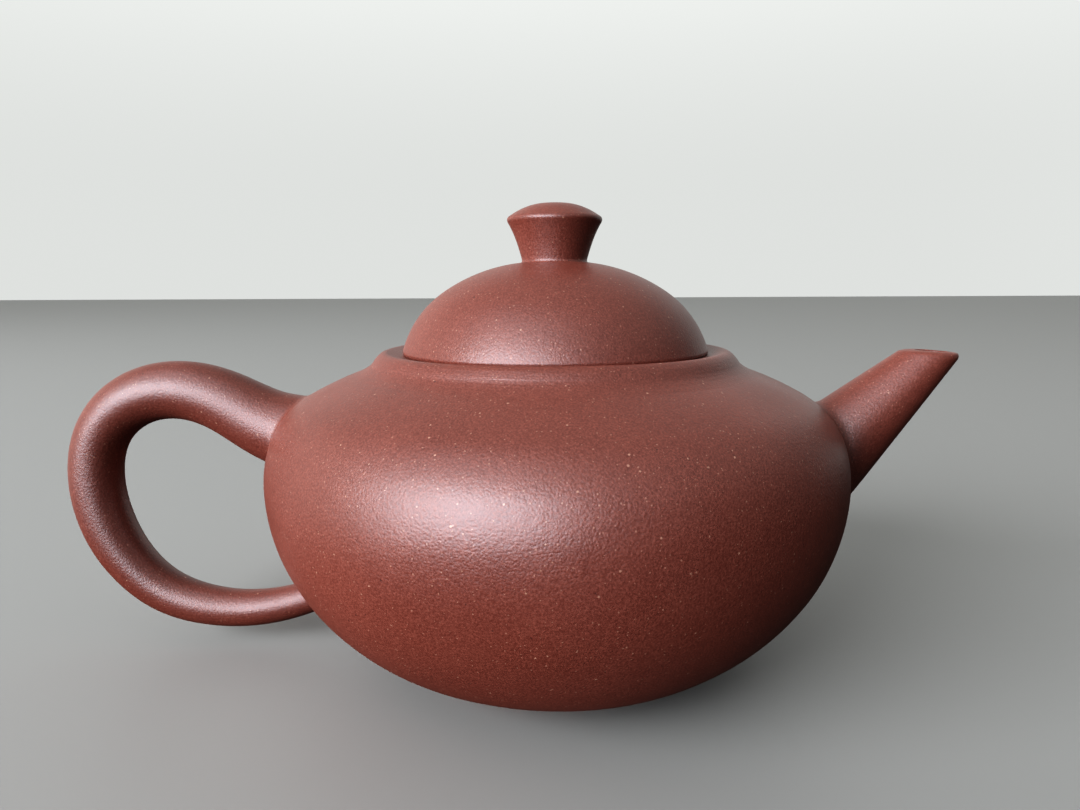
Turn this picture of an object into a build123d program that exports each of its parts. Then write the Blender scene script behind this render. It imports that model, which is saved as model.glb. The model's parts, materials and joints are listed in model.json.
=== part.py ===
from build123d import *
from math import acos, asin, cos, degrees, radians, sin, tan
import os

# A hand-built round clay teapot with a domed lid, a straight tapered spout and an ear-shaped handle.
# Millimetres, +Z up. The origin is the centre of the foot, where the pot's axis meets the table.
# The spout points along +X and the handle along -X.

# ---- Driving dimensions -------------------------------------------------------------------------
wall = 2.6  # clay thickness of the body and the shoulder
lid_wall = 2.4  # clay thickness of the lid's dome
belly_radius = 47.5  # widest radius of the body
belly_height = 32.3  # height of the widest circle above the table

# The body's outline is tangent arcs above and below the widest circle: (arc radius, angle where the
# arc ends). The angle is that of the outward normal, measured from the horizontal.
side_arc = (20.0, 16.0)
bend_arc = (12.5, 61.0)
shoulder_arc_radius = 55.0
low_side_arc = (30.0, -30.0)
low_arc = (36.0, -54.0)
roll_arc = (18.0, -90.0)

foot_outer = 22.4
foot_inner = 18.8
foot_round = 0.7

mouth_radius = 22.6
seat_height = 48.8  # level where the shoulder is flattened to take the mouth ring
mouth_top = 51.9
mouth_ring_radius = 28.3  # where the ring's flat top begins to round over
mouth_top_round = 1.0
mouth_side_slope = 43.0  # how steeply the ring's side falls away below its rounded edge
mouth_underside = 46.3

lid_radius = 25.45
lid_edge_angle = 14.2
lid_side_arc = (17.1, 56.0)
lid_top_arc = (28.5, 90.0)
lid_edge_height = 52.0
lid_edge_round = 0.5
plate_top = 53.9
plate_hole = 19.4

flange_clearance = 0.3
flange_wall = 2.2
flange_bottom = 46.0
flange_round = 0.6

knob_neck = 5.2
knob_radius = 7.75
knob_edge_height = 73.6
knob_top = 76.2
knob_edge_round = 0.6
steam_hole = 1.2

spout_tip_cone = (78.9, 66.1)  # where the spout's tapering sides would meet
spout_rise = 43.65  # slope of the spout's axis
spout_half_taper = 9.9
spout_root = 56.0  # distances from the cone's point along the spout's axis
spout_mouth = 21.3
spout_blank = 14.0  # the blank cone starts here, before its mouth is cut
spout_wall_root = 2.3
spout_wall_mouth = 1.5
spout_cut_slope = -5.0  # slope of the cut across the spout's mouth
spout_hole = 5.6  # hole through the body wall into the spout

strainer_distance = 47.0  # the ball's centre lies on the spout's axis, at the wall's inside
strainer_outer = 7.8
strainer_wall = 1.4
strainer_hole = 0.8
strainer_rings = ((0, 1), (22, 6), (44, 12))  # (angle from the middle, number of holes)

# The handle's centre line, from the shoulder round to the lower belly: (x, z, radius of the clay).
handle_path = (
    (-41.0, 37.0, 7.2),
    (-49.4, 39.7, 6.0),
    (-56.3, 43.4, 5.35),
    (-64.6, 45.5, 4.95),
    (-72.6, 43.7, 4.7),
    (-78.2, 38.3, 4.45),
    (-80.2, 30.2, 4.35),
    (-78.9, 22.1, 4.3),
    (-75.1, 14.8, 4.05),
    (-69.2, 9.4, 3.75),
    (-62.0, 6.8, 3.45),
    (-55.0, 6.2, 3.2),
    (-47.6, 7.2, 2.95),
    (-40.5, 9.6, 2.7),
    (-35.5, 12.2, 2.6),
)


# ---- Outline helpers ----------------------------------------------------------------------------
def on_circle(center, radius, angle):
    """The point at an angle, in degrees, on a circle in the plane of the half section."""
    return (center[0] + radius * cos(radians(angle)), center[1] + radius * sin(radians(angle)))


def next_center(center, radius, angle, new_radius):
    """The centre of the arc that carries on from another without a corner."""
    return on_circle(center, radius - new_radius, angle)


side_center = (belly_radius - side_arc[0], belly_height)
bend_center = next_center(side_center, *side_arc, bend_arc[0])
shoulder_center = next_center(bend_center, *bend_arc, shoulder_arc_radius)
low_side_center = (belly_radius - low_side_arc[0], belly_height)
low_center = next_center(low_side_center, *low_side_arc, low_arc[0])
roll_center = next_center(low_center, *low_arc, roll_arc[0])


def body_arcs(inset):
    """Draw the body's side from its base up to the bend, moved inwards; return both ends."""
    roll = roll_arc[0] - inset
    low = low_arc[0] - inset
    low_side = low_side_arc[0] - inset
    side = side_arc[0] - inset
    bend = bend_arc[0] - inset
    CenterArc(roll_center, roll, roll_arc[1], low_arc[1] - roll_arc[1])
    CenterArc(low_center, low, low_arc[1], low_side_arc[1] - low_arc[1])
    CenterArc(low_side_center, low_side, low_side_arc[1], -low_side_arc[1])
    CenterArc(side_center, side, 0, side_arc[1])
    CenterArc(bend_center, bend, side_arc[1], bend_arc[1] - side_arc[1])
    return on_circle(roll_center, roll, roll_arc[1]), on_circle(bend_center, bend, bend_arc[1])


base_under = roll_center[1] - roll_arc[0]
base_top = base_under + wall
base_radius = roll_center[0]


def shoulder_point(inset, height):
    """The point on the shoulder's arc, moved inwards, at a height."""
    rise = height - shoulder_center[1]
    reach = ((shoulder_arc_radius - inset) ** 2 - rise**2) ** 0.5
    return (shoulder_center[0] + reach, height)


# ---- Solids used for trimming: the body's full outside and its full inside ----------------------
with BuildPart() as outside:
    with BuildSketch(Plane.XZ):
        with BuildLine():
            low_end, high_end = body_arcs(0)
            top_end = shoulder_point(0, seat_height)
            RadiusArc(high_end, top_end, -shoulder_arc_radius)
            Polyline(top_end, (0, seat_height), (0, base_under), low_end)
        make_face()
    revolve(axis=Axis.Z)

with BuildPart() as inside:
    with BuildSketch(Plane.XZ):
        with BuildLine():
            low_end, high_end = body_arcs(wall)
            top_end = shoulder_point(wall, mouth_underside)
            RadiusArc(high_end, top_end, wall - shoulder_arc_radius)
            Polyline(top_end, (0, mouth_underside), (0, base_top), low_end)
        make_face()
    revolve(axis=Axis.Z)

# ---- Spout: its own plane has its local X along the spout's axis, from the cone's point ---------
spout_direction = Vector(-cos(radians(spout_rise)), 0, -sin(radians(spout_rise)))
cone_point = Vector(spout_tip_cone[0], 0, spout_tip_cone[1])
spout_plane = Plane(origin=cone_point, x_dir=spout_direction, z_dir=(0, 1, 0))
spout_axis = Axis(cone_point, spout_direction)
spout_taper = tan(radians(spout_half_taper))


def spout_point(distance):
    """The point on the spout's axis at a distance from the cone's point."""
    return cone_point + spout_direction * distance


def channel_radius(distance):
    """The radius of the spout's channel at a distance from the cone's point."""
    share = (distance - spout_mouth) / (spout_root - spout_mouth)
    thickness = spout_wall_mouth + share * (spout_wall_root - spout_wall_mouth)
    return distance * spout_taper - thickness


with BuildPart() as spout:
    with BuildSketch(spout_plane):
        Polygon(
            (spout_blank, channel_radius(spout_blank)),
            (spout_blank, spout_blank * spout_taper),
            (spout_root, spout_root * spout_taper),
            (spout_root, channel_radius(spout_root)),
            align=None,
        )
    revolve(axis=spout_axis)
    cut_normal = (-sin(radians(spout_cut_slope)), 0, cos(radians(spout_cut_slope)))
    split(bisect_by=Plane(origin=spout_point(spout_mouth), z_dir=cut_normal), keep=Keep.BOTTOM)
    add(outside.part, mode=Mode.SUBTRACT)
spout.part.label = "spout"

# ---- Body wall: the beaten strip of clay, open at the bottom and at the shoulder -----------------
with BuildPart() as body_wall:
    with BuildSketch(Plane.XZ):
        with BuildLine():
            outer_low, outer_high = body_arcs(0)
            inner_low, inner_high = body_arcs(wall)
            Line(outer_low, inner_low)
            Line(outer_high, inner_high)
        make_face()
    revolve(axis=Axis.Z)
    hole_plane = Plane(origin=spout_point(spout_root), x_dir=(0, 1, 0), z_dir=-spout_direction)
    with BuildSketch(hole_plane):
        Circle(spout_hole)
    extrude(amount=spout_root - spout_mouth, mode=Mode.SUBTRACT)
body_wall.part.label = "body_wall"

# ---- Base disc and foot ring ---------------------------------------------------------------------
with BuildPart() as base_disc:
    with BuildSketch(Plane.XY.offset(base_under)):
        Circle(base_radius)
    extrude(amount=wall)
base_disc.part.label = "base_disc"

with BuildPart() as foot_ring:
    with BuildSketch():
        Circle(foot_outer)
        Circle(foot_inner, mode=Mode.SUBTRACT)
    extrude(amount=base_under)
    fillet(foot_ring.edges().group_by(Axis.Z)[0], foot_round)
foot_ring.part.label = "foot_ring"

# ---- Shoulder disc: domed, levelled round the mouth to seat the ring ------------------------------
with BuildPart() as shoulder_disc:
    with BuildSketch(Plane.XZ):
        with BuildLine():
            outer_low = on_circle(bend_center, bend_arc[0], bend_arc[1])
            inner_low = on_circle(bend_center, bend_arc[0] - wall, bend_arc[1])
            outer_top = shoulder_point(0, seat_height)
            inner_top = shoulder_point(wall, mouth_underside)
            RadiusArc(outer_low, outer_top, -shoulder_arc_radius)
            RadiusArc(inner_low, inner_top, wall - shoulder_arc_radius)
            Polyline(inner_top, (mouth_radius, mouth_underside), (mouth_radius, seat_height), outer_top)
            Line(outer_low, inner_low)
        make_face()
    revolve(axis=Axis.Z)
shoulder_disc.part.label = "shoulder_disc"

# ---- Mouth ring: a low collar whose outside sweeps down into the shoulder -------------------------
with BuildPart() as mouth_ring:
    with BuildSketch(Plane.XZ):
        with BuildLine():
            foot = shoulder_point(0, seat_height)
            foot_normal = (foot[0] - shoulder_center[0], foot[1] - shoulder_center[1])
            top = (mouth_ring_radius, mouth_top)
            round_center = (mouth_ring_radius, mouth_top - mouth_top_round)
            side = on_circle(round_center, mouth_top_round, 90 - mouth_side_slope)
            side_fall = (cos(radians(mouth_side_slope)), -sin(radians(mouth_side_slope)))
            RadiusArc(top, side, mouth_top_round)
            Spline(side, foot, tangents=(side_fall, (foot_normal[1], -foot_normal[0])))
            Polyline(foot, (mouth_radius, seat_height), (mouth_radius, mouth_top), top)
        make_face()
    revolve(axis=Axis.Z)
mouth_ring.part.label = "mouth_ring"

# ---- Strainer: half a hollow ball on the inside of the wall, pierced with rings of holes ----------
ball_center = spout_point(strainer_distance)
with BuildPart() as strainer:
    with BuildSketch(Plane(origin=ball_center, x_dir=spout_direction, z_dir=(0, 1, 0))):
        Circle(strainer_outer)
        Circle(strainer_outer - strainer_wall, mode=Mode.SUBTRACT)
        Rectangle(2 * strainer_outer, strainer_outer, align=(Align.CENTER, Align.MAX), mode=Mode.SUBTRACT)
    revolve(axis=spout_axis)
    add(inside.part, mode=Mode.INTERSECT)
    for tilt, count in strainer_rings:
        for turn in range(count):
            middle = Location(Plane(origin=ball_center, x_dir=(0, 1, 0), z_dir=spout_direction))
            aim = middle * Rot(0, 0, 360 * turn / count) * Rot(tilt, 0, 0)
            with BuildSketch(Plane(aim)):
                Circle(strainer_hole)
            extrude(amount=2 * strainer_outer, mode=Mode.SUBTRACT)
strainer.part.label = "strainer"

# ---- Handle: round sections along the centre line, cut to sit on the body -------------------------
with BuildPart() as handle:
    with BuildLine(Plane.XZ):
        centre_line = Spline([(x, z) for x, z, radius in handle_path])
    for x, z, radius in handle_path:
        along = centre_line.tangent_at(centre_line.param_at_point(Vector(x, 0, z)))
        with BuildSketch(Plane(origin=(x, 0, z), x_dir=(0, 1, 0), z_dir=along)):
            Circle(radius)
    loft()
    add(outside.part, mode=Mode.SUBTRACT)
handle.part.label = "handle"

# ---- Lid: domed top, rim plate, and the flange that drops into the mouth --------------------------
lid_side_center = (
    lid_radius - lid_side_arc[0] * cos(radians(lid_edge_angle)),
    lid_edge_height - lid_side_arc[0] * sin(radians(lid_edge_angle)),
)
lid_top_center = next_center(lid_side_center, *lid_side_arc, lid_top_arc[0])


def lid_side_angle(inset, height):
    """The angle at which the lid's side arc, moved inwards, passes a height."""
    return degrees(asin((height - lid_side_center[1]) / (lid_side_arc[0] - inset)))


def dome_arcs(inset):
    """Draw the dome's section above the rim plate; return its low end and its crown."""
    side = lid_side_arc[0] - inset
    crown = lid_top_arc[0] - inset
    start = lid_side_angle(inset, plate_top)
    CenterArc(lid_side_center, side, start, lid_side_arc[1] - start)
    CenterArc(lid_top_center, crown, lid_side_arc[1], lid_top_arc[1] - lid_side_arc[1])
    return on_circle(lid_side_center, side, start), on_circle(lid_top_center, crown, lid_top_arc[1])


with BuildPart() as lid_dome:
    with BuildSketch(Plane.XZ):
        with BuildLine():
            outer_low, outer_crown = dome_arcs(0)
            inner_low, inner_crown = dome_arcs(lid_wall)
            Line(outer_low, inner_low)
            Polyline(inner_crown, (steam_hole, inner_crown[1]), (steam_hole, outer_crown[1]), outer_crown)
        make_face()
    revolve(axis=Axis.Z)
lid_dome.part.label = "lid_dome"

with BuildPart() as lid_plate:
    with BuildSketch(Plane.XZ):
        with BuildLine():
            start = lid_side_angle(0, lid_edge_height + lid_edge_round)
            end = lid_side_angle(0, plate_top)
            CenterArc(lid_side_center, lid_side_arc[0], start, end - start)
            edge = on_circle(lid_side_center, lid_side_arc[0], start)
            rim = on_circle(lid_side_center, lid_side_arc[0], end)
            under = (lid_radius - lid_edge_round, mouth_top)
            Spline(under, edge, tangents=((1, 0), (0, 1)))
            Polyline(under, (plate_hole, mouth_top), (plate_hole, plate_top), rim)
        make_face()
    revolve(axis=Axis.Z)
lid_plate.part.label = "lid_plate"

with BuildPart() as lid_flange:
    flange_outer = mouth_radius - flange_clearance
    with BuildSketch(Plane.XY.offset(flange_bottom)):
        Circle(flange_outer)
        Circle(flange_outer - flange_wall, mode=Mode.SUBTRACT)
    extrude(amount=mouth_top - flange_bottom)
    fillet(lid_flange.edges().group_by(Axis.Z)[0], flange_round)
lid_flange.part.label = "lid_flange"

# ---- Knob: a slightly waisted cone with a domed top, bored through for the steam ------------------
with BuildPart() as knob:
    with BuildSketch(Plane.XZ) as knob_section:
        with BuildLine():
            neck_angle = degrees(acos((knob_neck - lid_top_center[0]) / lid_top_arc[0]))
            neck = on_circle(lid_top_center, lid_top_arc[0], neck_angle)
            crown = on_circle(lid_top_center, lid_top_arc[0], lid_top_arc[1])
            brim = (knob_radius, knob_edge_height)
            hole_top = (steam_hole, knob_top)
            CenterArc(lid_top_center, lid_top_arc[0], neck_angle, lid_top_arc[1] - neck_angle)
            Polyline(crown, (steam_hole, crown[1]), hole_top)
            TangentArc(hole_top, brim, tangent=(1, 0))
            Spline(brim, neck, tangents=((-1, -3), (0, -1)))
        make_face()
        fillet(knob_section.vertices().sort_by(Axis.X)[-1], knob_edge_round)
    revolve(axis=Axis.Z)
knob.part.label = "knob"

# ---- One file per piece ---------------------------------------------------------------------------
pieces = (
    body_wall,
    base_disc,
    foot_ring,
    shoulder_disc,
    mouth_ring,
    spout,
    strainer,
    handle,
    lid_dome,
    lid_plate,
    lid_flange,
    knob,
)
os.makedirs("parts", exist_ok=True)
for piece in pieces:
    export_step(piece.part, f"parts/{piece.part.label}.step")
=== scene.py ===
import json
from math import acos, asin, cos, degrees, hypot, pi, radians, sin, tan

import bpy
import numpy as np
from mathutils import Matrix, Vector, noise


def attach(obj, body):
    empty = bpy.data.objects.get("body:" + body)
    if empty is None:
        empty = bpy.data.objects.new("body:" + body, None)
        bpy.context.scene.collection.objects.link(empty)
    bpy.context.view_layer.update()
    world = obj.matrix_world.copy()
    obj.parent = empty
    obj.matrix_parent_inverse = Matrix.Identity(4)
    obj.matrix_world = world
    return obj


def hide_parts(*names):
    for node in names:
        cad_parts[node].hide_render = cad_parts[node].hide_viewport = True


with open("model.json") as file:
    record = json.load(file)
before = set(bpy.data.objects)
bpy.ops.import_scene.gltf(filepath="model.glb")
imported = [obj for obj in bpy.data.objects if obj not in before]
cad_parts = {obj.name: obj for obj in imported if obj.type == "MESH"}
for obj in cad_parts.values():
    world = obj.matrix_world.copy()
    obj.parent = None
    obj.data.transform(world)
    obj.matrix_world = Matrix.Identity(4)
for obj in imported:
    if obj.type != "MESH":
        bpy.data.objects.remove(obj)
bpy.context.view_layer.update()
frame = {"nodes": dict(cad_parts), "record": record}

# The looks of a hand-built zisha clay teapot. Outlines are worked out in millimetres, as on the
# maker's drawing, and every mesh is written in metres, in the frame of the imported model.
MM = 0.001

# ---- The pot's outline, in millimetres -----------------------------------------------------------
WALL = 2.6
LID_WALL = 2.4
BELLY_RADIUS = 47.5
BELLY_HEIGHT = 32.3
SIDE_ARC = (20.0, 16.0)
BEND_ARC = (12.5, 61.0)
SHOULDER_RADIUS = 55.0
LOW_SIDE_ARC = (30.0, -30.0)
LOW_ARC = (36.0, -54.0)
ROLL_ARC = (18.0, -90.0)
FOOT_OUTER = 22.4
FOOT_INNER = 18.8
MOUTH_RADIUS = 22.6
SEAT_HEIGHT = 48.8
MOUTH_TOP = 51.9
RING_HOLLOW = (31.1, 49.65)
RING_SIDE = (30.3, 50.6)
RING_SHOULDER = (29.05, 52.6)
RING_CROWN = (27.9, 52.45)
RING_FLAT = 25.65
MOUTH_UNDER = 46.3
LID_RADIUS = 25.45
LID_EDGE_ANGLE = 14.2
LID_SIDE_ARC = (17.1, 56.0)
LID_TOP_ARC = (28.5, 90.0)
LID_EDGE_HEIGHT = 52.0
LID_EDGE_ROUND = 0.5
PLATE_TOP = 53.9
PLATE_HOLE = 19.4
FLANGE_OUTER = 22.3
FLANGE_INNER = 20.1
FLANGE_BOTTOM = 46.0
KNOB_NECK = 5.3
KNOB_RADIUS = 7.95
KNOB_EDGE = 73.6
KNOB_TOP = 76.2
STEAM_HOLE = 1.2
CONE_POINT = (78.9, 66.1)
SPOUT_RISE = 43.65
SPOUT_HALF_TAPER = 9.65
SPOUT_MOUTH = 20.75
SPOUT_CUT_SLOPE = -4.2
SPOUT_WALL_MOUTH = 1.5
SPOUT_WALL_ROOT = 2.3
SPOUT_ROOT = 56.0
SPOUT_HOLE = 5.6
HANDLE_PATH = (
    (-41.0, 37.0, 7.2),
    (-49.4, 39.7, 6.0),
    (-56.3, 43.4, 5.35),
    (-64.6, 45.5, 4.95),
    (-72.6, 43.7, 4.7),
    (-78.2, 38.3, 4.45),
    (-80.2, 30.2, 4.35),
    (-78.9, 22.1, 4.3),
    (-75.1, 14.8, 4.05),
    (-69.2, 9.4, 3.75),
    (-62.0, 6.8, 3.45),
    (-55.0, 6.2, 3.2),
    (-47.6, 7.2, 2.95),
    (-40.5, 9.6, 2.7),
    (-35.5, 12.2, 2.6),
)

# Small roundings, in millimetres
FOOT_ROUND = 0.8
FLANGE_ROUND = 0.7
PLATE_ROUND = 0.4
RING_INNER_ROUND = 0.3
STEAM_HOLE_ROUND = 0.3
ROOT_SINK = 0.25  # how far a luted root goes under the body's surface
SPOUT_ROOT_REACH = 1.9  # the slip fillets where the limbs meet the body
HANDLE_TOP_REACH = 1.2
HANDLE_LOW_REACH = 1.0
HOLE_CUTTER_MIDDLE = 46.0  # along the spout's axis, in the thickness of the wall
HOLE_CUTTER_REACH = 9.0

# ---- Mesh density and shading ----------------------------------------------------------------------
TURN_STEPS = 224
KNOB_STEPS = 128
ROW = 0.45  # usual distance between the rows of a turned surface
EDGE_ROW = 0.06  # the first row beside a luted joint, so that shading runs on across it
TURNED_SHARP = 34.0  # an edge sharper than this, in degrees, is shaded as a corner
LIMB_SHARP = 50.0
FINE_SHARP = 40.0

# ---- How far the hand-beaten clay is out of true ----------------------------------------------------
UNEVEN_SEED = 7
BROAD_WAVE, BROAD_AMOUNT = 26.0, 0.13  # millimetres
NARROW_WAVE, NARROW_AMOUNT = 9.0, 0.035
BROAD_OFFSET = Vector((3.1, 7.7, 1.3))
NARROW_OFFSET = Vector((11.0, 2.0, 5.0))


# ---- Outline helpers -----------------------------------------------------------------------------
def on_circle(center, radius, angle):
    return (center[0] + radius * cos(radians(angle)), center[1] + radius * sin(radians(angle)))


def next_center(center, radius, angle, new_radius):
    """The centre of an arc that carries on from another without a corner."""
    return on_circle(center, radius - new_radius, angle)


SIDE_CENTER = (BELLY_RADIUS - SIDE_ARC[0], BELLY_HEIGHT)
BEND_CENTER = next_center(SIDE_CENTER, *SIDE_ARC, BEND_ARC[0])
SHOULDER_CENTER = next_center(BEND_CENTER, *BEND_ARC, SHOULDER_RADIUS)
LOW_SIDE_CENTER = (BELLY_RADIUS - LOW_SIDE_ARC[0], BELLY_HEIGHT)
LOW_CENTER = next_center(LOW_SIDE_CENTER, *LOW_SIDE_ARC, LOW_ARC[0])
ROLL_CENTER = next_center(LOW_CENTER, *LOW_ARC, ROLL_ARC[0])
BASE_UNDER = ROLL_CENTER[1] - ROLL_ARC[0]
BASE_RADIUS = ROLL_CENTER[0]
LID_SIDE_CENTER = (
    LID_RADIUS - LID_SIDE_ARC[0] * cos(radians(LID_EDGE_ANGLE)),
    LID_EDGE_HEIGHT - LID_SIDE_ARC[0] * sin(radians(LID_EDGE_ANGLE)),
)
LID_TOP_CENTER = next_center(LID_SIDE_CENTER, *LID_SIDE_ARC, LID_TOP_ARC[0])


def arc(center, radius, start, end):
    """Points along an arc, both ends included."""
    count = max(2, int(abs(radians(end - start)) * radius / ROW) + 1)
    return [on_circle(center, radius, start + (end - start) * i / count) for i in range(count + 1)]


def run(*corners, row=ROW):
    """Points along a path of straight lines, both ends included."""
    points = [corners[0]]
    for a, b in zip(corners, corners[1:]):
        count = max(1, int(hypot(b[0] - a[0], b[1] - a[1]) / row))
        points += [(a[0] + (b[0] - a[0]) * i / count, a[1] + (b[1] - a[1]) * i / count)
                   for i in range(1, count + 1)]
    return points


def bend(a, corner, b, count=6):
    """Points along a smooth bend from a to b that rounds a corner."""
    points = []
    for i in range(count + 1):
        t = i / count
        points.append(tuple((1 - t) ** 2 * a[k] + 2 * t * (1 - t) * corner[k] + t * t * b[k]
                            for k in range(len(a))))
    return points


def cubic(a, b, c, d, count):
    """Points along a cubic curve whose ends point along a to b and c to d."""
    points = []
    for i in range(count + 1):
        t = i / count
        shares = ((1 - t) ** 3, 3 * t * (1 - t) ** 2, 3 * t * t * (1 - t), t**3)
        points.append(tuple(sum(share * p[k] for share, p in zip(shares, (a, b, c, d)))
                            for k in range(len(a))))
    return points


def joined(*stretches):
    """One path from several stretches, with doubled points dropped."""
    path = [stretches[0][0]]
    for point in [p for stretch in stretches for p in stretch]:
        if hypot(point[0] - path[-1][0], point[1] - path[-1][1]) > 1e-4:
            path.append(point)
    return path


def tight_ends(path):
    """Add a row close to each end of a path, so that the shading at a joint is that of the surface."""
    def beside(a, b):
        share = EDGE_ROW / hypot(b[0] - a[0], b[1] - a[1])
        return (a[0] + (b[0] - a[0]) * share, a[1] + (b[1] - a[1]) * share)
    return [path[0], beside(path[0], path[1])] + path[1:-1] + [beside(path[-1], path[-2]), path[-1]]


def body_side(inset):
    """The body's side from its base up to the bend at the shoulder, moved inwards."""
    return joined(
        arc(ROLL_CENTER, ROLL_ARC[0] - inset, ROLL_ARC[1], LOW_ARC[1]),
        arc(LOW_CENTER, LOW_ARC[0] - inset, LOW_ARC[1], LOW_SIDE_ARC[1]),
        arc(LOW_SIDE_CENTER, LOW_SIDE_ARC[0] - inset, LOW_SIDE_ARC[1], 0),
        arc(SIDE_CENTER, SIDE_ARC[0] - inset, 0, SIDE_ARC[1]),
        arc(BEND_CENTER, BEND_ARC[0] - inset, SIDE_ARC[1], BEND_ARC[1]),
    )


def shoulder_angle(inset, height):
    return degrees(asin((height - SHOULDER_CENTER[1]) / (SHOULDER_RADIUS - inset)))


def lid_angle(inset, height):
    return degrees(asin((height - LID_SIDE_CENTER[1]) / (LID_SIDE_ARC[0] - inset)))


# ---- Mesh helpers --------------------------------------------------------------------------------
# Blender starts its vector noise from the clock unless it is given a seed.
noise.seed_set(UNEVEN_SEED)


def unevenness(point):
    """How far hand-beaten clay is out of true at a point, in millimetres. It is the same for every
    piece, so that pieces which touch still touch."""
    broad = noise.noise_vector(Vector(point) / BROAD_WAVE + BROAD_OFFSET)
    narrow = noise.noise_vector(Vector(point) / NARROW_WAVE + NARROW_OFFSET)
    return broad * BROAD_AMOUNT + narrow * NARROW_AMOUNT


def make_object(name, points, faces, sharp=TURNED_SHARP, uneven=True):
    """A smooth-shaded mesh object from points in millimetres, in metres in the model's frame."""
    mesh = bpy.data.meshes.new(name)
    mesh.from_pydata([(Vector(p) + (unevenness(p) if uneven else Vector())) * MM for p in points], [], faces)
    mesh.validate()
    mesh.update()
    mesh.shade_smooth()
    mesh.set_sharp_from_angle(angle=radians(sharp))
    piece = bpy.data.objects.new(name, mesh)
    bpy.context.scene.collection.objects.link(piece)
    return piece


def turned(name, profile, closed=True, sharp=TURNED_SHARP, uneven=True, steps=TURN_STEPS):
    """A turned piece: the profile, as (radius, height), swept round the pot's axis.

    A closed profile is a ring's section. An open one starts and ends on the axis.
    """
    points, rows = [], []
    for radius, height in profile:
        if radius < 1e-6:
            rows.append([len(points)])
            points.append((0.0, 0.0, height))
        else:
            rows.append(list(range(len(points), len(points) + steps)))
            turns = [2 * pi * i / steps for i in range(steps)]
            points += [(radius * cos(turn), radius * sin(turn), height) for turn in turns]
    faces = []
    pairs = list(zip(rows, rows[1:] + ([rows[0]] if closed else [])))
    for low, high in pairs[: len(rows) if closed else len(rows) - 1]:
        for i in range(steps):
            j = (i + 1) % steps
            if len(low) == 1:
                faces.append((low[0], high[j], high[i]))
            elif len(high) == 1:
                faces.append((low[i], low[j], high[0]))
            else:
                faces.append((low[i], low[j], high[j], high[i]))
    return make_object(name, points, faces, sharp, uneven)


# ---- The body's outer surface, for pieces that are luted onto it ----------------------------------
OUTLINE = np.array(joined(
    run((0, BASE_UNDER), (BASE_RADIUS, BASE_UNDER), row=2.0),
    body_side(0),
    arc(SHOULDER_CENTER, SHOULDER_RADIUS, BEND_ARC[1], shoulder_angle(0, SEAT_HEIGHT)),
    run(on_circle(SHOULDER_CENTER, SHOULDER_RADIUS, shoulder_angle(0, SEAT_HEIGHT)), (0, SEAT_HEIGHT), row=2.0),
))


def on_body(point):
    """The nearest point on the body's outside, the outward normal there, and the height above it."""
    radius = hypot(point[0], point[1])
    here = np.array((radius, point[2]))
    a, b = OUTLINE[:-1], OUTLINE[1:]
    along = b - a
    share = np.clip(((here - a) * along).sum(1) / (along**2).sum(1), 0, 1)
    foot = a + along * share[:, None]
    i = int(((here - foot) ** 2).sum(1).argmin())
    normal = np.array((along[i][1], -along[i][0])) / hypot(*along[i])
    height = float((here - foot[i]) @ normal)
    turn = np.array((point[0], point[1])) / max(radius, 1e-9)
    surface = Vector((foot[i][0] * turn[0], foot[i][0] * turn[1], foot[i][1]))
    return surface, Vector((normal[0] * turn[0], normal[0] * turn[1], normal[1])), height


def meets_body(path, start, end):
    """Where a path, as a function of distance, goes into the body between two distances."""
    for _ in range(26):
        middle = (start + end) / 2
        if on_body(path(middle))[2] > 0:
            start = middle
        else:
            end = middle
    return start


def luted_root(path, meeting, reach, middle, count=9):
    """Points of the slip fillet that runs from a limb's side out onto the body, then just under it."""
    before = Vector(path(meeting - reach))
    corner = Vector(path(meeting))
    _, normal, _ = on_body(corner)
    away = corner - middle
    away = (away - normal * away.dot(normal)).normalized()
    landing, landing_normal, _ = on_body(corner + away * reach)
    fillet = bend(before, corner, landing, count)
    return [Vector(p) for p in fillet] + [landing - landing_normal * ROOT_SINK]


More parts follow.
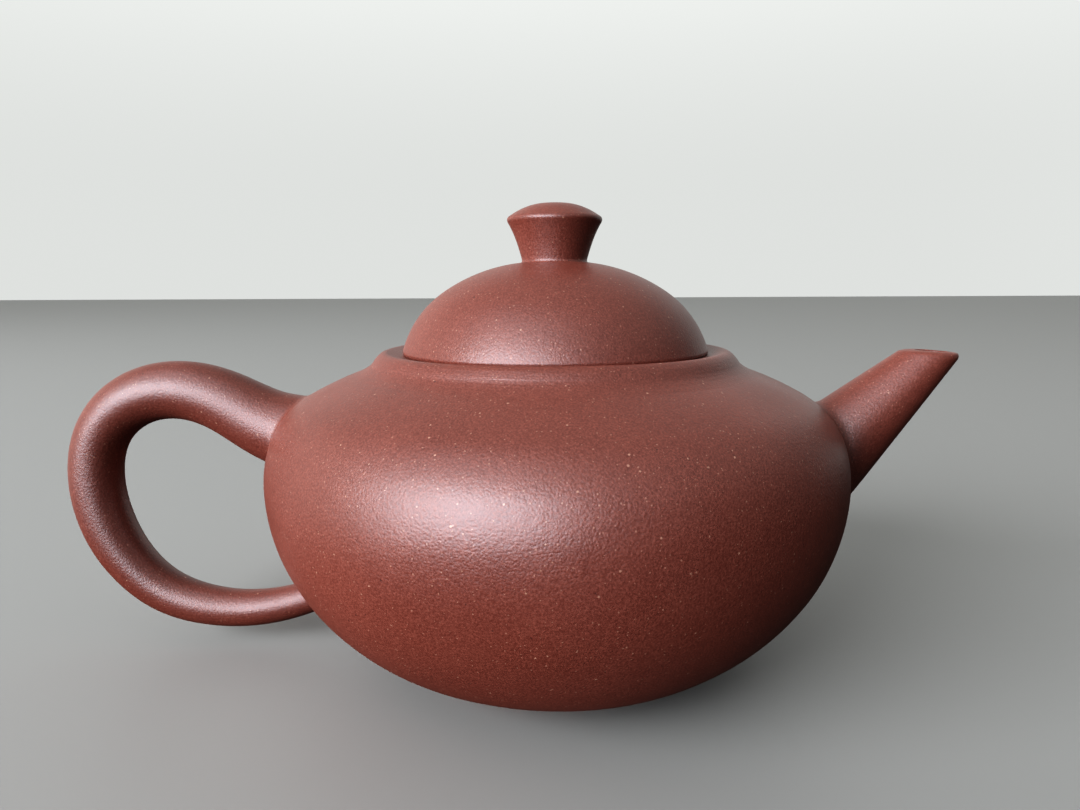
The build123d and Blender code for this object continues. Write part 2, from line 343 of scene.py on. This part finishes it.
# ---- Turned pieces of the pot ---------------------------------------------------------------------
def make_pot():
    side = turned("pot_wall", joined(tight_ends(body_side(0)), tight_ends(body_side(WALL)[::-1])))
    cut_spout_hole(side)
    base = turned("pot_base", [(0, BASE_UNDER)] + run((0.6, BASE_UNDER), (BASE_RADIUS, BASE_UNDER), row=1.5)
                  + run((BASE_RADIUS, BASE_UNDER + WALL), (0.6, BASE_UNDER + WALL), row=1.5)
                  + [(0, BASE_UNDER + WALL)],
                  closed=False)
    foot = turned("pot_foot_ring", joined(
        bend((FOOT_INNER, FOOT_ROUND), (FOOT_INNER, 0.0), (FOOT_INNER + FOOT_ROUND, 0.0)),
        run((FOOT_INNER + FOOT_ROUND, 0.0), (FOOT_OUTER - FOOT_ROUND, 0.0)),
        bend((FOOT_OUTER - FOOT_ROUND, 0.0), (FOOT_OUTER, 0.0), (FOOT_OUTER, FOOT_ROUND)),
        run((FOOT_OUTER, FOOT_ROUND), (FOOT_OUTER, BASE_UNDER), (FOOT_INNER, BASE_UNDER), (FOOT_INNER, FOOT_ROUND)),
    )[:-1], uneven=False)
    top_angle = shoulder_angle(0, SEAT_HEIGHT)
    under_angle = shoulder_angle(WALL, MOUTH_UNDER)
    outer = tight_ends(arc(SHOULDER_CENTER, SHOULDER_RADIUS, BEND_ARC[1], top_angle))
    inner = tight_ends(arc(SHOULDER_CENTER, SHOULDER_RADIUS - WALL, under_angle, BEND_ARC[1]))
    shoulder = turned("pot_shoulder", joined(
        outer,
        run(outer[-1], (MOUTH_RADIUS, SEAT_HEIGHT), row=2.0),
        run((MOUTH_RADIUS, SEAT_HEIGHT), (MOUTH_RADIUS, MOUTH_UNDER), inner[0]),
        inner,
    ))
    foot_of_ring = outer[-1]
    ring = turned("pot_mouth_ring", joined(
        tight_ends(bend(foot_of_ring, RING_HOLLOW, RING_SIDE, 16)),
        bend(RING_SIDE, RING_SHOULDER, RING_CROWN, 14),
        bend(RING_CROWN, (26.2, MOUTH_TOP + 0.08), (RING_FLAT, MOUTH_TOP), 8),
        run((RING_FLAT, MOUTH_TOP), (MOUTH_RADIUS + RING_INNER_ROUND, MOUTH_TOP)),
        bend((MOUTH_RADIUS + RING_INNER_ROUND, MOUTH_TOP), (MOUTH_RADIUS, MOUTH_TOP),
             (MOUTH_RADIUS, MOUTH_TOP - RING_INNER_ROUND), 4),
        run((MOUTH_RADIUS, MOUTH_TOP - RING_INNER_ROUND), (MOUTH_RADIUS, SEAT_HEIGHT), foot_of_ring),
    )[:-1])
    return [(side, "body_wall"), (base, "base_disc"), (foot, "foot_ring"), (shoulder, "shoulder_disc"),
            (ring, "mouth_ring")]


# ---- Spout ----------------------------------------------------------------------------------------
SPOUT_ALONG = Vector((-cos(radians(SPOUT_RISE)), 0, -sin(radians(SPOUT_RISE))))
SPOUT_UP = Vector((-SPOUT_ALONG.z, 0, SPOUT_ALONG.x)) * -1
SPOUT_POINT = Vector((CONE_POINT[0], 0, CONE_POINT[1]))
SPOUT_TAPER = tan(radians(SPOUT_HALF_TAPER))


def cut_spout_hole(side):
    """Cut the hole behind the spout through the pot's wall."""
    cutter_mesh = bpy.data.meshes.new("hole_cutter")
    count = 64
    middle = SPOUT_POINT + SPOUT_ALONG * HOLE_CUTTER_MIDDLE
    ends = [middle - SPOUT_ALONG * HOLE_CUTTER_REACH, middle + SPOUT_ALONG * HOLE_CUTTER_REACH]
    points = []
    for end in ends:
        for i in range(count):
            turn = 2 * pi * i / count
            points.append((end + (Vector((0, 1, 0)) * cos(turn) + SPOUT_UP * sin(turn)) * SPOUT_HOLE) * MM)
    # Every face looks outwards. With an inside-out cutter the boolean would cut nothing.
    faces = [tuple(range(count)), tuple(range(count, 2 * count))[::-1]]
    faces += [(i, count + i, count + (i + 1) % count, (i + 1) % count) for i in range(count)]
    cutter_mesh.from_pydata(points, [], faces)
    cutter_mesh.update()
    cutter = bpy.data.objects.new("hole_cutter", cutter_mesh)
    bpy.context.scene.collection.objects.link(cutter)
    cut = side.modifiers.new("hole", "BOOLEAN")
    cut.operation = "DIFFERENCE"
    cut.object = cutter
    cut.solver = "EXACT"
    bpy.context.view_layer.update()
    shaped = bpy.data.meshes.new_from_object(side.evaluated_get(bpy.context.evaluated_depsgraph_get()))
    side.modifiers.clear()
    side.data = shaped
    shaped.shade_smooth()
    shaped.set_sharp_from_angle(angle=radians(TURNED_SHARP))
    bpy.data.objects.remove(cutter)


def make_spout(steps=96):
    """The hollow tapered spout: its mouth is cut level and rounded, its root is luted onto the body."""
    cut_normal = Vector((-sin(radians(SPOUT_CUT_SLOPE)), 0, cos(radians(SPOUT_CUT_SLOPE))))
    cut_at = SPOUT_POINT + SPOUT_ALONG * SPOUT_MOUTH
    rows = []
    for i in range(steps):
        turn = 2 * pi * i / steps
        out = Vector((0, 1, 0)) * cos(turn) + SPOUT_UP * sin(turn)

        def outside(distance):
            return SPOUT_POINT + SPOUT_ALONG * distance + out * (distance * SPOUT_TAPER)

        def channel(distance):
            share = (distance - SPOUT_MOUTH) / (SPOUT_ROOT - SPOUT_MOUTH)
            wall = SPOUT_WALL_MOUTH + share * (SPOUT_WALL_ROOT - SPOUT_WALL_MOUTH)
            return SPOUT_POINT + SPOUT_ALONG * distance + out * (distance * SPOUT_TAPER - wall)

        def at_cut(line):
            """The distance at which a straight line along the spout reaches the cut."""
            a, b = line(10.0), line(40.0)
            return 10.0 + 30.0 * (cut_at - a).dot(cut_normal) / (b - a).dot(cut_normal)

        lip_out, lip_in = at_cut(outside), at_cut(channel)
        edge_out, edge_in = outside(lip_out), channel(lip_in)
        across = (edge_in - edge_out).normalized()
        lip_width = (edge_in - edge_out).length
        round_in, round_out, round_side = 0.25 * lip_width, 0.70 * lip_width, 1.2 - 0.4 * sin(turn)
        meeting = meets_body(outside, lip_out, SPOUT_ROOT)
        middle = SPOUT_POINT + SPOUT_ALONG * meeting
        root = luted_root(outside, meeting, SPOUT_ROOT_REACH, middle)
        start, end = lip_out + round_side, meeting - SPOUT_ROOT_REACH
        long_side = [outside(start + (end - start) * k / 40) for k in range(41)]
        lip = [Vector(p) for p in bend(channel(lip_in + round_in), edge_in, edge_in - across * round_in, 6)]
        lip_start, lip_end = edge_out + across * round_out, outside(start)
        lip_curve = cubic(lip_start, lip_start.lerp(edge_out, 0.55), lip_end.lerp(edge_out, 0.55), lip_end, 10)
        lip += [Vector(p) for p in lip_curve]
        inner_end = meets_body(channel, lip_in, SPOUT_ROOT) + 0.3
        inner = [channel(inner_end + (lip_in + round_in - inner_end) * k / 24) for k in range(25)]
        rows.append(inner + lip[1:] + long_side[1:] + root[1:])
    return ringed("spout_tube", rows[::-1], closed_rows=True)


def ringed(name, lines, closed_rows=False, caps=False):
    """A mesh from lines of points that stand side by side round a limb."""
    count = len(lines[0])
    points = [tuple(p) for line in lines for p in line]
    faces = []
    total = len(lines)
    for i in range(total):
        j = (i + 1) % total
        for k in range(count if closed_rows else count - 1):
            m = (k + 1) % count
            faces.append((i * count + k, j * count + k, j * count + m, i * count + m))
    if caps:
        faces.append(tuple(i * count for i in range(total))[::-1])
        faces.append(tuple(i * count + count - 1 for i in range(total)))
    return make_object(name, points, faces, sharp=LIMB_SHARP)


# ---- Handle ---------------------------------------------------------------------------------------
def smooth_curve(knots, values):
    """A cubic curve through values at knots, as a function. It has no bend at its ends."""
    knots, values = np.array(knots, float), np.array(values, float)
    step = np.diff(knots)
    slope = np.diff(values, axis=0) / step[:, None]
    matrix = np.eye(len(knots))
    right = np.zeros_like(values)
    for i in range(1, len(knots) - 1):
        matrix[i, i - 1 : i + 2] = (step[i - 1], 2 * (step[i - 1] + step[i]), step[i])
        right[i] = 6 * (slope[i] - slope[i - 1])
    curve = np.linalg.solve(matrix, right)

    def at(t):
        i = int(np.clip(np.searchsorted(knots, t) - 1, 0, len(step) - 1))
        a, b, h = knots[i + 1] - t, t - knots[i], step[i]
        return (curve[i] * a**3 + curve[i + 1] * b**3) / (6 * h) + (values[i] / h - curve[i] * h / 6) * a + (
            values[i + 1] / h - curve[i + 1] * h / 6) * b

    return at


def make_handle(steps=72, length_steps=190):
    """The ear-shaped handle, a round tapering coil of clay luted on at both ends."""
    path = np.array(HANDLE_PATH)
    knots = np.concatenate([[0], np.cumsum(np.hypot(*np.diff(path[:, :2], axis=0).T))])
    at = smooth_curve(knots, path)
    middle_of_path = knots[-1] / 2

    def skin(turn):
        def point(distance):
            x, z, radius = at(distance)
            ahead, behind = at(distance + 0.05), at(distance - 0.05)
            along = Vector((ahead[0] - behind[0], 0, ahead[1] - behind[1])).normalized()
            side = Vector((-along.z, 0, along.x))
            return Vector((x, 0, z)) + (side * sin(turn) + Vector((0, 1, 0)) * cos(turn)) * radius
        return point

    lines = []
    for i in range(steps):
        point = skin(2 * pi * i / steps)
        first = meets_body(point, middle_of_path, 1.0)
        last = meets_body(point, middle_of_path, knots[-1] - 1.0)
        x, z, _ = at(first)
        top_root = luted_root(lambda s: point(first * 2 - s), first, HANDLE_TOP_REACH, Vector((x, 0, z)))
        x, z, _ = at(last)
        low_root = luted_root(point, last, HANDLE_LOW_REACH, Vector((x, 0, z)))
        start, end = first + HANDLE_TOP_REACH, last - HANDLE_LOW_REACH
        side = [point(start + (end - start) * k / length_steps) for k in range(length_steps + 1)]
        lines.append(top_root[::-1] + side[1:-1] + low_root)
    return ringed("handle_loop", lines, caps=True)


# ---- Lid ------------------------------------------------------------------------------------------
def make_lid():
    dome_outer = joined(
        arc(LID_SIDE_CENTER, LID_SIDE_ARC[0], lid_angle(0, PLATE_TOP), LID_SIDE_ARC[1]),
        arc(LID_TOP_CENTER, LID_TOP_ARC[0], LID_SIDE_ARC[1], LID_TOP_ARC[1]),
    )
    dome_inner = joined(
        arc(LID_SIDE_CENTER, LID_SIDE_ARC[0] - LID_WALL, lid_angle(LID_WALL, PLATE_TOP), LID_SIDE_ARC[1]),
        arc(LID_TOP_CENTER, LID_TOP_ARC[0] - LID_WALL, LID_SIDE_ARC[1], LID_TOP_ARC[1]),
    )
    dome = turned("lid_top", joined(
        tight_ends(dome_outer),
        run(dome_outer[-1], (STEAM_HOLE, dome_outer[-1][1]), (STEAM_HOLE, dome_inner[-1][1]), dome_inner[-1]),
        dome_inner[::-1],
    ))
    edge_start = lid_angle(0, LID_EDGE_HEIGHT + LID_EDGE_ROUND)
    rim = tight_ends(arc(LID_SIDE_CENTER, LID_SIDE_ARC[0], edge_start, lid_angle(0, PLATE_TOP)))
    plate = turned("lid_rim", joined(
        bend((LID_RADIUS - LID_EDGE_ROUND, MOUTH_TOP), (rim[0][0] + 0.02, MOUTH_TOP), rim[0], 6),
        rim,
        run(rim[-1], (PLATE_HOLE + PLATE_ROUND, PLATE_TOP)),
        bend((PLATE_HOLE + PLATE_ROUND, PLATE_TOP), (PLATE_HOLE, PLATE_TOP), (PLATE_HOLE, PLATE_TOP - PLATE_ROUND), 4),
        run((PLATE_HOLE, PLATE_TOP - PLATE_ROUND), (PLATE_HOLE, MOUTH_TOP + PLATE_ROUND)),
        bend((PLATE_HOLE, MOUTH_TOP + PLATE_ROUND), (PLATE_HOLE, MOUTH_TOP), (PLATE_HOLE + PLATE_ROUND, MOUTH_TOP), 4),
        run((PLATE_HOLE + PLATE_ROUND, MOUTH_TOP), (LID_RADIUS - LID_EDGE_ROUND, MOUTH_TOP)),
    )[:-1])
    rounded = FLANGE_BOTTOM + FLANGE_ROUND
    flange = turned("lid_flange_ring", joined(
        bend((FLANGE_INNER, rounded), (FLANGE_INNER, FLANGE_BOTTOM), (FLANGE_INNER + FLANGE_ROUND, FLANGE_BOTTOM)),
        run((FLANGE_INNER + FLANGE_ROUND, FLANGE_BOTTOM), (FLANGE_OUTER - FLANGE_ROUND, FLANGE_BOTTOM)),
        bend((FLANGE_OUTER - FLANGE_ROUND, FLANGE_BOTTOM), (FLANGE_OUTER, FLANGE_BOTTOM), (FLANGE_OUTER, rounded)),
        run((FLANGE_OUTER, rounded), (FLANGE_OUTER, MOUTH_TOP), (FLANGE_INNER, MOUTH_TOP), (FLANGE_INNER, rounded)),
    )[:-1], uneven=False)
    neck_angle = degrees(acos((KNOB_NECK + 0.55 - LID_TOP_CENTER[0]) / LID_TOP_ARC[0]))
    foot = on_circle(LID_TOP_CENTER, LID_TOP_ARC[0] - 0.05, neck_angle)
    crown = on_circle(LID_TOP_CENTER, LID_TOP_ARC[0], LID_TOP_ARC[1])[1]
    neck = (KNOB_NECK + 0.1, foot[1] + 0.6)
    under_edge = (KNOB_RADIUS - 0.35, KNOB_EDGE - 0.6)
    over_edge = (KNOB_RADIUS - 0.7, KNOB_EDGE + 0.65)
    knob = turned("lid_knob", joined(
        run((STEAM_HOLE, crown - 0.3), (foot[0] - 0.3, crown - 0.5), row=1.0),
        bend(foot, (KNOB_NECK, foot[1] + 0.05), neck, 6),
        bend(neck, (KNOB_NECK + 1.1, foot[1] + 4.4), under_edge, 14),
        bend(under_edge, (KNOB_RADIUS + 0.18, KNOB_EDGE + 0.2), over_edge, 12),
        bend(over_edge, (KNOB_RADIUS * 0.55, KNOB_TOP), (STEAM_HOLE + STEAM_HOLE_ROUND, KNOB_TOP), 16),
        bend((STEAM_HOLE + STEAM_HOLE_ROUND, KNOB_TOP), (STEAM_HOLE, KNOB_TOP),
             (STEAM_HOLE, KNOB_TOP - STEAM_HOLE_ROUND), 4),
        run((STEAM_HOLE, KNOB_TOP - STEAM_HOLE_ROUND), (STEAM_HOLE, crown - 0.3), row=1.5),
    )[:-1], sharp=FINE_SHARP, steps=KNOB_STEPS)
    return [(dome, "lid_dome"), (plate, "lid_plate"), (flange, "lid_flange"), (knob, "knob")]


# ---- Materials ------------------------------------------------------------------------------------
def new_node(tree, kind, inputs=None, **settings):
    """Add a shader node; inputs are numbers, colours or the sockets that feed them."""
    made = tree.nodes.new(kind)
    for key, value in settings.items():
        setattr(made, key, value)
    for key, value in (inputs or {}).items():
        if isinstance(value, bpy.types.NodeSocket):
            tree.links.new(value, made.inputs[key])
        else:
            made.inputs[key].default_value = value
    return made


def ramp(tree, source, stops):
    """A colour ramp over a 0 to 1 value; stops are (place, grey or colour)."""
    made = tree.nodes.new("ShaderNodeValToRGB")
    tree.links.new(source, made.inputs["Fac"])
    elements = made.color_ramp.elements
    while len(elements) < len(stops):
        elements.new(0.5)
    for element, (place, colour) in zip(elements, stops):
        element.position = place
        element.color = (*colour, 1.0) if isinstance(colour, tuple) else (colour, colour, colour, 1.0)
    return made.outputs["Color"]


def mix_colour(tree, share, a, b, blend="MIX"):
    made = tree.nodes.new("ShaderNodeMix")
    made.data_type = "RGBA"
    made.blend_type = blend
    for socket, value in ((made.inputs["Factor"], share), (made.inputs[6], a), (made.inputs[7], b)):
        if isinstance(value, bpy.types.NodeSocket):
            tree.links.new(value, socket)
        else:
            socket.default_value = (*value, 1.0) if isinstance(value, tuple) else value
    return made.outputs[2]


def math_node(tree, operation, *values):
    made = tree.nodes.new("ShaderNodeMath")
    made.operation = operation
    for socket, value in zip(made.inputs, values):
        if isinstance(value, bpy.types.NodeSocket):
            tree.links.new(value, socket)
        else:
            socket.default_value = value
    return made.outputs[0]


def grains(tree, place, cell, chosen, low, high):
    """Sparse round grains: cells of a given size, a share of them chosen, each with a small dot."""
    cells = new_node(tree, "ShaderNodeTexVoronoi", {"Vector": place, "Scale": 1.0 / (cell * MM), "Randomness": 1.0})
    pick = new_node(tree, "ShaderNodeSeparateColor", {"Color": cells.outputs["Color"]})
    shown = math_node(tree, "LESS_THAN", pick.outputs[0], chosen)
    size = math_node(tree, "MULTIPLY_ADD", pick.outputs[1], high - low, low)
    inside = math_node(tree, "SUBTRACT", size, cells.outputs["Distance"])
    dot = new_node(tree, "ShaderNodeMapRange", {"Value": inside, "From Min": 0.0, "From Max": 0.07}).outputs[0]
    return math_node(tree, "MULTIPLY", dot, shown)


CLAY = (0.210, 0.054, 0.037)
CLAY_LIGHT = (0.29, 0.091, 0.064)
CLAY_DARK = (0.12, 0.028, 0.019)
SAND = (0.55, 0.31, 0.23)
IRON = (0.030, 0.008, 0.007)


def zisha(name, streaks=0.0):
    """Unglazed zisha clay: fired red-brown, fine pear-skin surface, scattered sand and iron grains."""
    material = bpy.data.materials.new(name)
    material.use_nodes = True
    tree = material.node_tree
    tree.nodes.clear()
    place = tree.nodes.new("ShaderNodeTexCoord").outputs["Object"]
    cloud = new_node(tree, "ShaderNodeTexNoise", {"Vector": place, "Scale": 45.0, "Detail": 4.0, "Roughness": 0.6})
    mottle = new_node(tree, "ShaderNodeTexNoise", {"Vector": place, "Scale": 520.0, "Detail": 3.0, "Roughness": 0.6})
    grit = new_node(tree, "ShaderNodeTexNoise", {"Vector": place, "Scale": 3600.0, "Detail": 2.0, "Roughness": 0.6})
    base = mix_colour(tree, ramp(tree, cloud.outputs["Fac"], ((0.32, 0.0), (0.68, 1.0))), CLAY_DARK, CLAY_LIGHT)
    base = mix_colour(tree, 0.72, base, CLAY)
    blotch = ramp(tree, mottle.outputs["Fac"], ((0.34, 0.0), (0.68, 1.0)))
    base = mix_colour(tree, math_node(tree, "MULTIPLY", blotch, 0.22), base, CLAY_LIGHT)
    fine = ramp(tree, grit.outputs["Fac"], ((0.36, 0.0), (0.66, 1.0)))
    base = mix_colour(tree, math_node(tree, "MULTIPLY", fine, 0.50), base, CLAY_LIGHT)
    base = mix_colour(tree, math_node(tree, "MULTIPLY_ADD", fine, -0.50, 0.50), base, CLAY_DARK)
    big_sand = grains(tree, place, 1.2, 0.26, 0.08, 0.17)
    small_sand = grains(tree, place, 0.6, 0.50, 0.10, 0.24)
    iron = grains(tree, place, 1.5, 0.17, 0.07, 0.13)
    base = mix_colour(tree, math_node(tree, "MULTIPLY", small_sand, 0.45), base, SAND)
    base = mix_colour(tree, math_node(tree, "MULTIPLY", big_sand, 0.72), base, SAND)
    base = mix_colour(tree, math_node(tree, "MULTIPLY", iron, 0.7), base, IRON)

    skin = new_node(tree, "ShaderNodeTexNoise", {"Vector": place, "Scale": 900.0, "Detail": 2.0, "Roughness": 0.55})
    pebbles = new_node(tree, "ShaderNodeTexVoronoi", {"Vector": place, "Scale": 2600.0, "Randomness": 1.0})
    height = math_node(tree, "MULTIPLY", skin.outputs["Fac"], 0.45)
    height = math_node(tree, "MULTIPLY_ADD", pebbles.outputs["Distance"], -0.30, height)
    height = math_node(tree, "ADD", height, math_node(tree, "MULTIPLY", grit.outputs["Fac"], 0.35))
    height = math_node(tree, "ADD", height, math_node(tree, "MULTIPLY", big_sand, 0.10))
    height = math_node(tree, "SUBTRACT", height, math_node(tree, "MULTIPLY", iron, 0.16))
    if streaks:
        squeezed = new_node(tree, "ShaderNodeMapping", {"Vector": place, "Scale": (60.0, 60.0, 2600.0)})
        lines = new_node(tree, "ShaderNodeTexNoise", {"Vector": squeezed.outputs[0], "Scale": 1.0, "Detail": 2.0})
        height = math_node(tree, "ADD", height, math_node(tree, "MULTIPLY", lines.outputs["Fac"], streaks))
    bump = new_node(tree, "ShaderNodeBump", {"Height": height, "Strength": 1.0, "Distance": 0.000072})

    polish = new_node(tree, "ShaderNodeTexNoise", {"Vector": place, "Scale": 60.0, "Detail": 3.0})
    rough = new_node(tree, "ShaderNodeMapRange", {"Value": polish.outputs["Fac"], "From Min": 0.3, "From Max": 0.7,
                                                 "To Min": 0.35, "To Max": 0.43})
    grain_rough = math_node(tree, "MULTIPLY", fine, 0.06)
    roughness = math_node(tree, "ADD", rough.outputs[0], grain_rough)
    shader = new_node(tree, "ShaderNodeBsdfPrincipled", {
        "Base Color": base, "Roughness": roughness, "Normal": bump.outputs["Normal"],
        "IOR": 1.5, "Specular IOR Level": 1.0, "Diffuse Roughness": 0.4,
    })
    output = tree.nodes.new("ShaderNodeOutputMaterial")
    tree.links.new(shader.outputs[0], output.inputs["Surface"])
    return material


def plain(name, colour, rough):
    material = bpy.data.materials.new(name)
    material.use_nodes = True
    shader = material.node_tree.nodes["Principled BSDF"]
    shader.inputs["Base Color"].default_value = (*colour, 1.0)
    shader.inputs["Roughness"].default_value = rough
    return material


# ---- Camera, light and floor ------------------------------------------------------------------------
CAMERA_PLACE = Vector((0.0, -0.1314, 0.0636))
CAMERA_DOWN = 8.99
CAMERA_LEFT = 1.10
CAMERA_ROLL = -0.27
CAMERA_LENS = 25.98


def make_camera():
    camera_data = bpy.data.cameras.new("camera")
    camera_data.lens = CAMERA_LENS
    camera_data.sensor_width = 36.0
    camera_data.clip_start = 0.005
    camera = bpy.data.objects.new("camera", camera_data)
    down, left, roll = radians(CAMERA_DOWN), radians(CAMERA_LEFT), radians(CAMERA_ROLL)
    ahead = Vector((-sin(left) * cos(down), cos(left) * cos(down), -sin(down)))
    right = Vector((cos(left), sin(left), 0))
    up = right.cross(ahead)
    turned_right = right * cos(roll) + up * sin(roll)
    turned_up = up * cos(roll) - right * sin(roll)
    facing = Matrix((turned_right, turned_up, -ahead)).transposed().to_4x4()
    camera.matrix_world = Matrix.Translation(CAMERA_PLACE) @ facing
    bpy.context.scene.collection.objects.link(camera)
    bpy.context.scene.camera = camera


def area_light(name, turn, rise, distance, width, height, power, colour):
    """A soft light that looks at the pot from a direction: turn is from the front, towards the right."""
    middle = Vector((0, 0, 0.035))
    turn, rise = radians(turn), radians(rise)
    towards = Vector((sin(turn) * cos(rise), -cos(turn) * cos(rise), sin(rise)))
    light_data = bpy.data.lights.new(name, "AREA")
    light_data.shape = "RECTANGLE"
    light_data.size = width
    light_data.size_y = height
    light_data.energy = power
    light_data.color = colour
    light = bpy.data.objects.new(name, light_data)
    light.location = middle + towards * distance
    light.rotation_euler = towards.to_track_quat("Z", "Y").to_euler()
    bpy.context.scene.collection.objects.link(light)
    return light


def make_stage():
    """The floor, the surroundings and three soft lights.

    The photo's table is dark, so the pale floor is hidden from the pot: it takes shadows but lights
    nothing. Two lights give only sheen and the third only shading, so that each can be set alone.
    """
    size = 3.0
    mesh = bpy.data.meshes.new("floor")
    mesh.from_pydata([(-size, -size, 0), (size, -size, 0), (size, size, 0), (-size, size, 0)], [], [(0, 1, 2, 3)])
    floor = bpy.data.objects.new("floor", mesh)
    bpy.context.scene.collection.objects.link(floor)
    mesh.materials.append(plain("pale_floor", (0.40, 0.397, 0.39), 0.5))
    floor.visible_diffuse = False
    floor.visible_glossy = False
    make_world()
    gleam = area_light("window_gleam", -30, 13.5, 1.4, 1.62, 1.06, 38.5, (0.72, 0.89, 1.0))
    gleam.visible_diffuse = False
    ceiling = area_light("ceiling_gleam", -42, 55, 1.4, 1.30, 0.90, 5.0, (0.78, 0.90, 1.0))
    ceiling.visible_diffuse = False
    key = area_light("window_key", -50, 17, 1.6, 1.40, 1.00, 48.0, (0.95, 0.975, 1.0))
    key.visible_glossy = False
    bpy.context.scene.view_settings.view_transform = "Standard"
    bpy.context.scene.view_settings.look = "High Contrast"
    bpy.context.scene.view_settings.exposure = -0.20


def make_world():
    """Soft surroundings: a bright wall behind the pot, a paler side on the left and more light from
    above. Below the horizon it is dark, in place of the photo's table, because the floor lights nothing."""
    world = bpy.data.worlds.new("studio")
    world.use_nodes = True
    tree = world.node_tree
    place = tree.nodes.new("ShaderNodeTexCoord").outputs["Generated"]
    direction = new_node(tree, "ShaderNodeSeparateXYZ", {"Vector": place})

    def fade(axis, start, end, kind="SMOOTHSTEP"):
        """From 0 to 1 as the direction's part along an axis goes from start to end."""
        return new_node(tree, "ShaderNodeMapRange", {
            "Value": direction.outputs[axis], "From Min": start, "From Max": end}, interpolation_type=kind).outputs[0]

    wall = math_node(tree, "MULTIPLY", fade("Y", 0.30, 0.80), fade("Z", 0.75, 0.40))
    left = fade("X", -0.60, -0.95)
    room = math_node(tree, "MULTIPLY_ADD", wall, 0.57, 0.05)
    room = math_node(tree, "MULTIPLY_ADD", fade("Z", 0.10, 0.75), 0.33, room)
    room = math_node(tree, "MULTIPLY_ADD", fade("Y", -0.20, -0.85), 0.05, room)
    room = math_node(tree, "MULTIPLY_ADD", fade("X", 0.35, 0.90), 0.04, room)
    over_floor = fade("Z", -0.12, -0.03, "LINEAR")
    room = math_node(tree, "MULTIPLY_ADD", room, over_floor, 0.02)
    over_table = fade("Z", -0.45, -0.15, "LINEAR")
    beside = math_node(tree, "MULTIPLY", left, over_table)
    strength = math_node(tree, "MULTIPLY_ADD", beside, 0.60, room)
    background = tree.nodes["Background"]
    background.inputs["Color"].default_value = (0.97, 0.99, 0.97, 1.0)
    tree.links.new(strength, background.inputs["Strength"])
    bpy.context.scene.world = world


# ---- Put it together ----------------------------------------------------------------------------------
make_camera()
make_stage()
clay = zisha("zisha_clay_body")
streaked = zisha("zisha_clay_wiped", streaks=0.9)
body_of = {node: body for body, nodes in frame["record"]["behaviour"]["bodies"].items() for node in nodes}
pieces = make_pot() + [(make_spout(), "spout"), (make_handle(), "handle")] + make_lid()
for piece, node in pieces:
    piece.data.materials.clear()
    piece.data.materials.append(streaked if node in ("mouth_ring", "lid_flange") else clay)
    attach(piece, body_of[node])
    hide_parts(node)
strainer = frame["nodes"]["strainer"]
strainer.data.materials.clear()
strainer.data.materials.append(clay)
strainer.data.shade_smooth()
strainer.data.set_sharp_from_angle(angle=radians(FINE_SHARP))
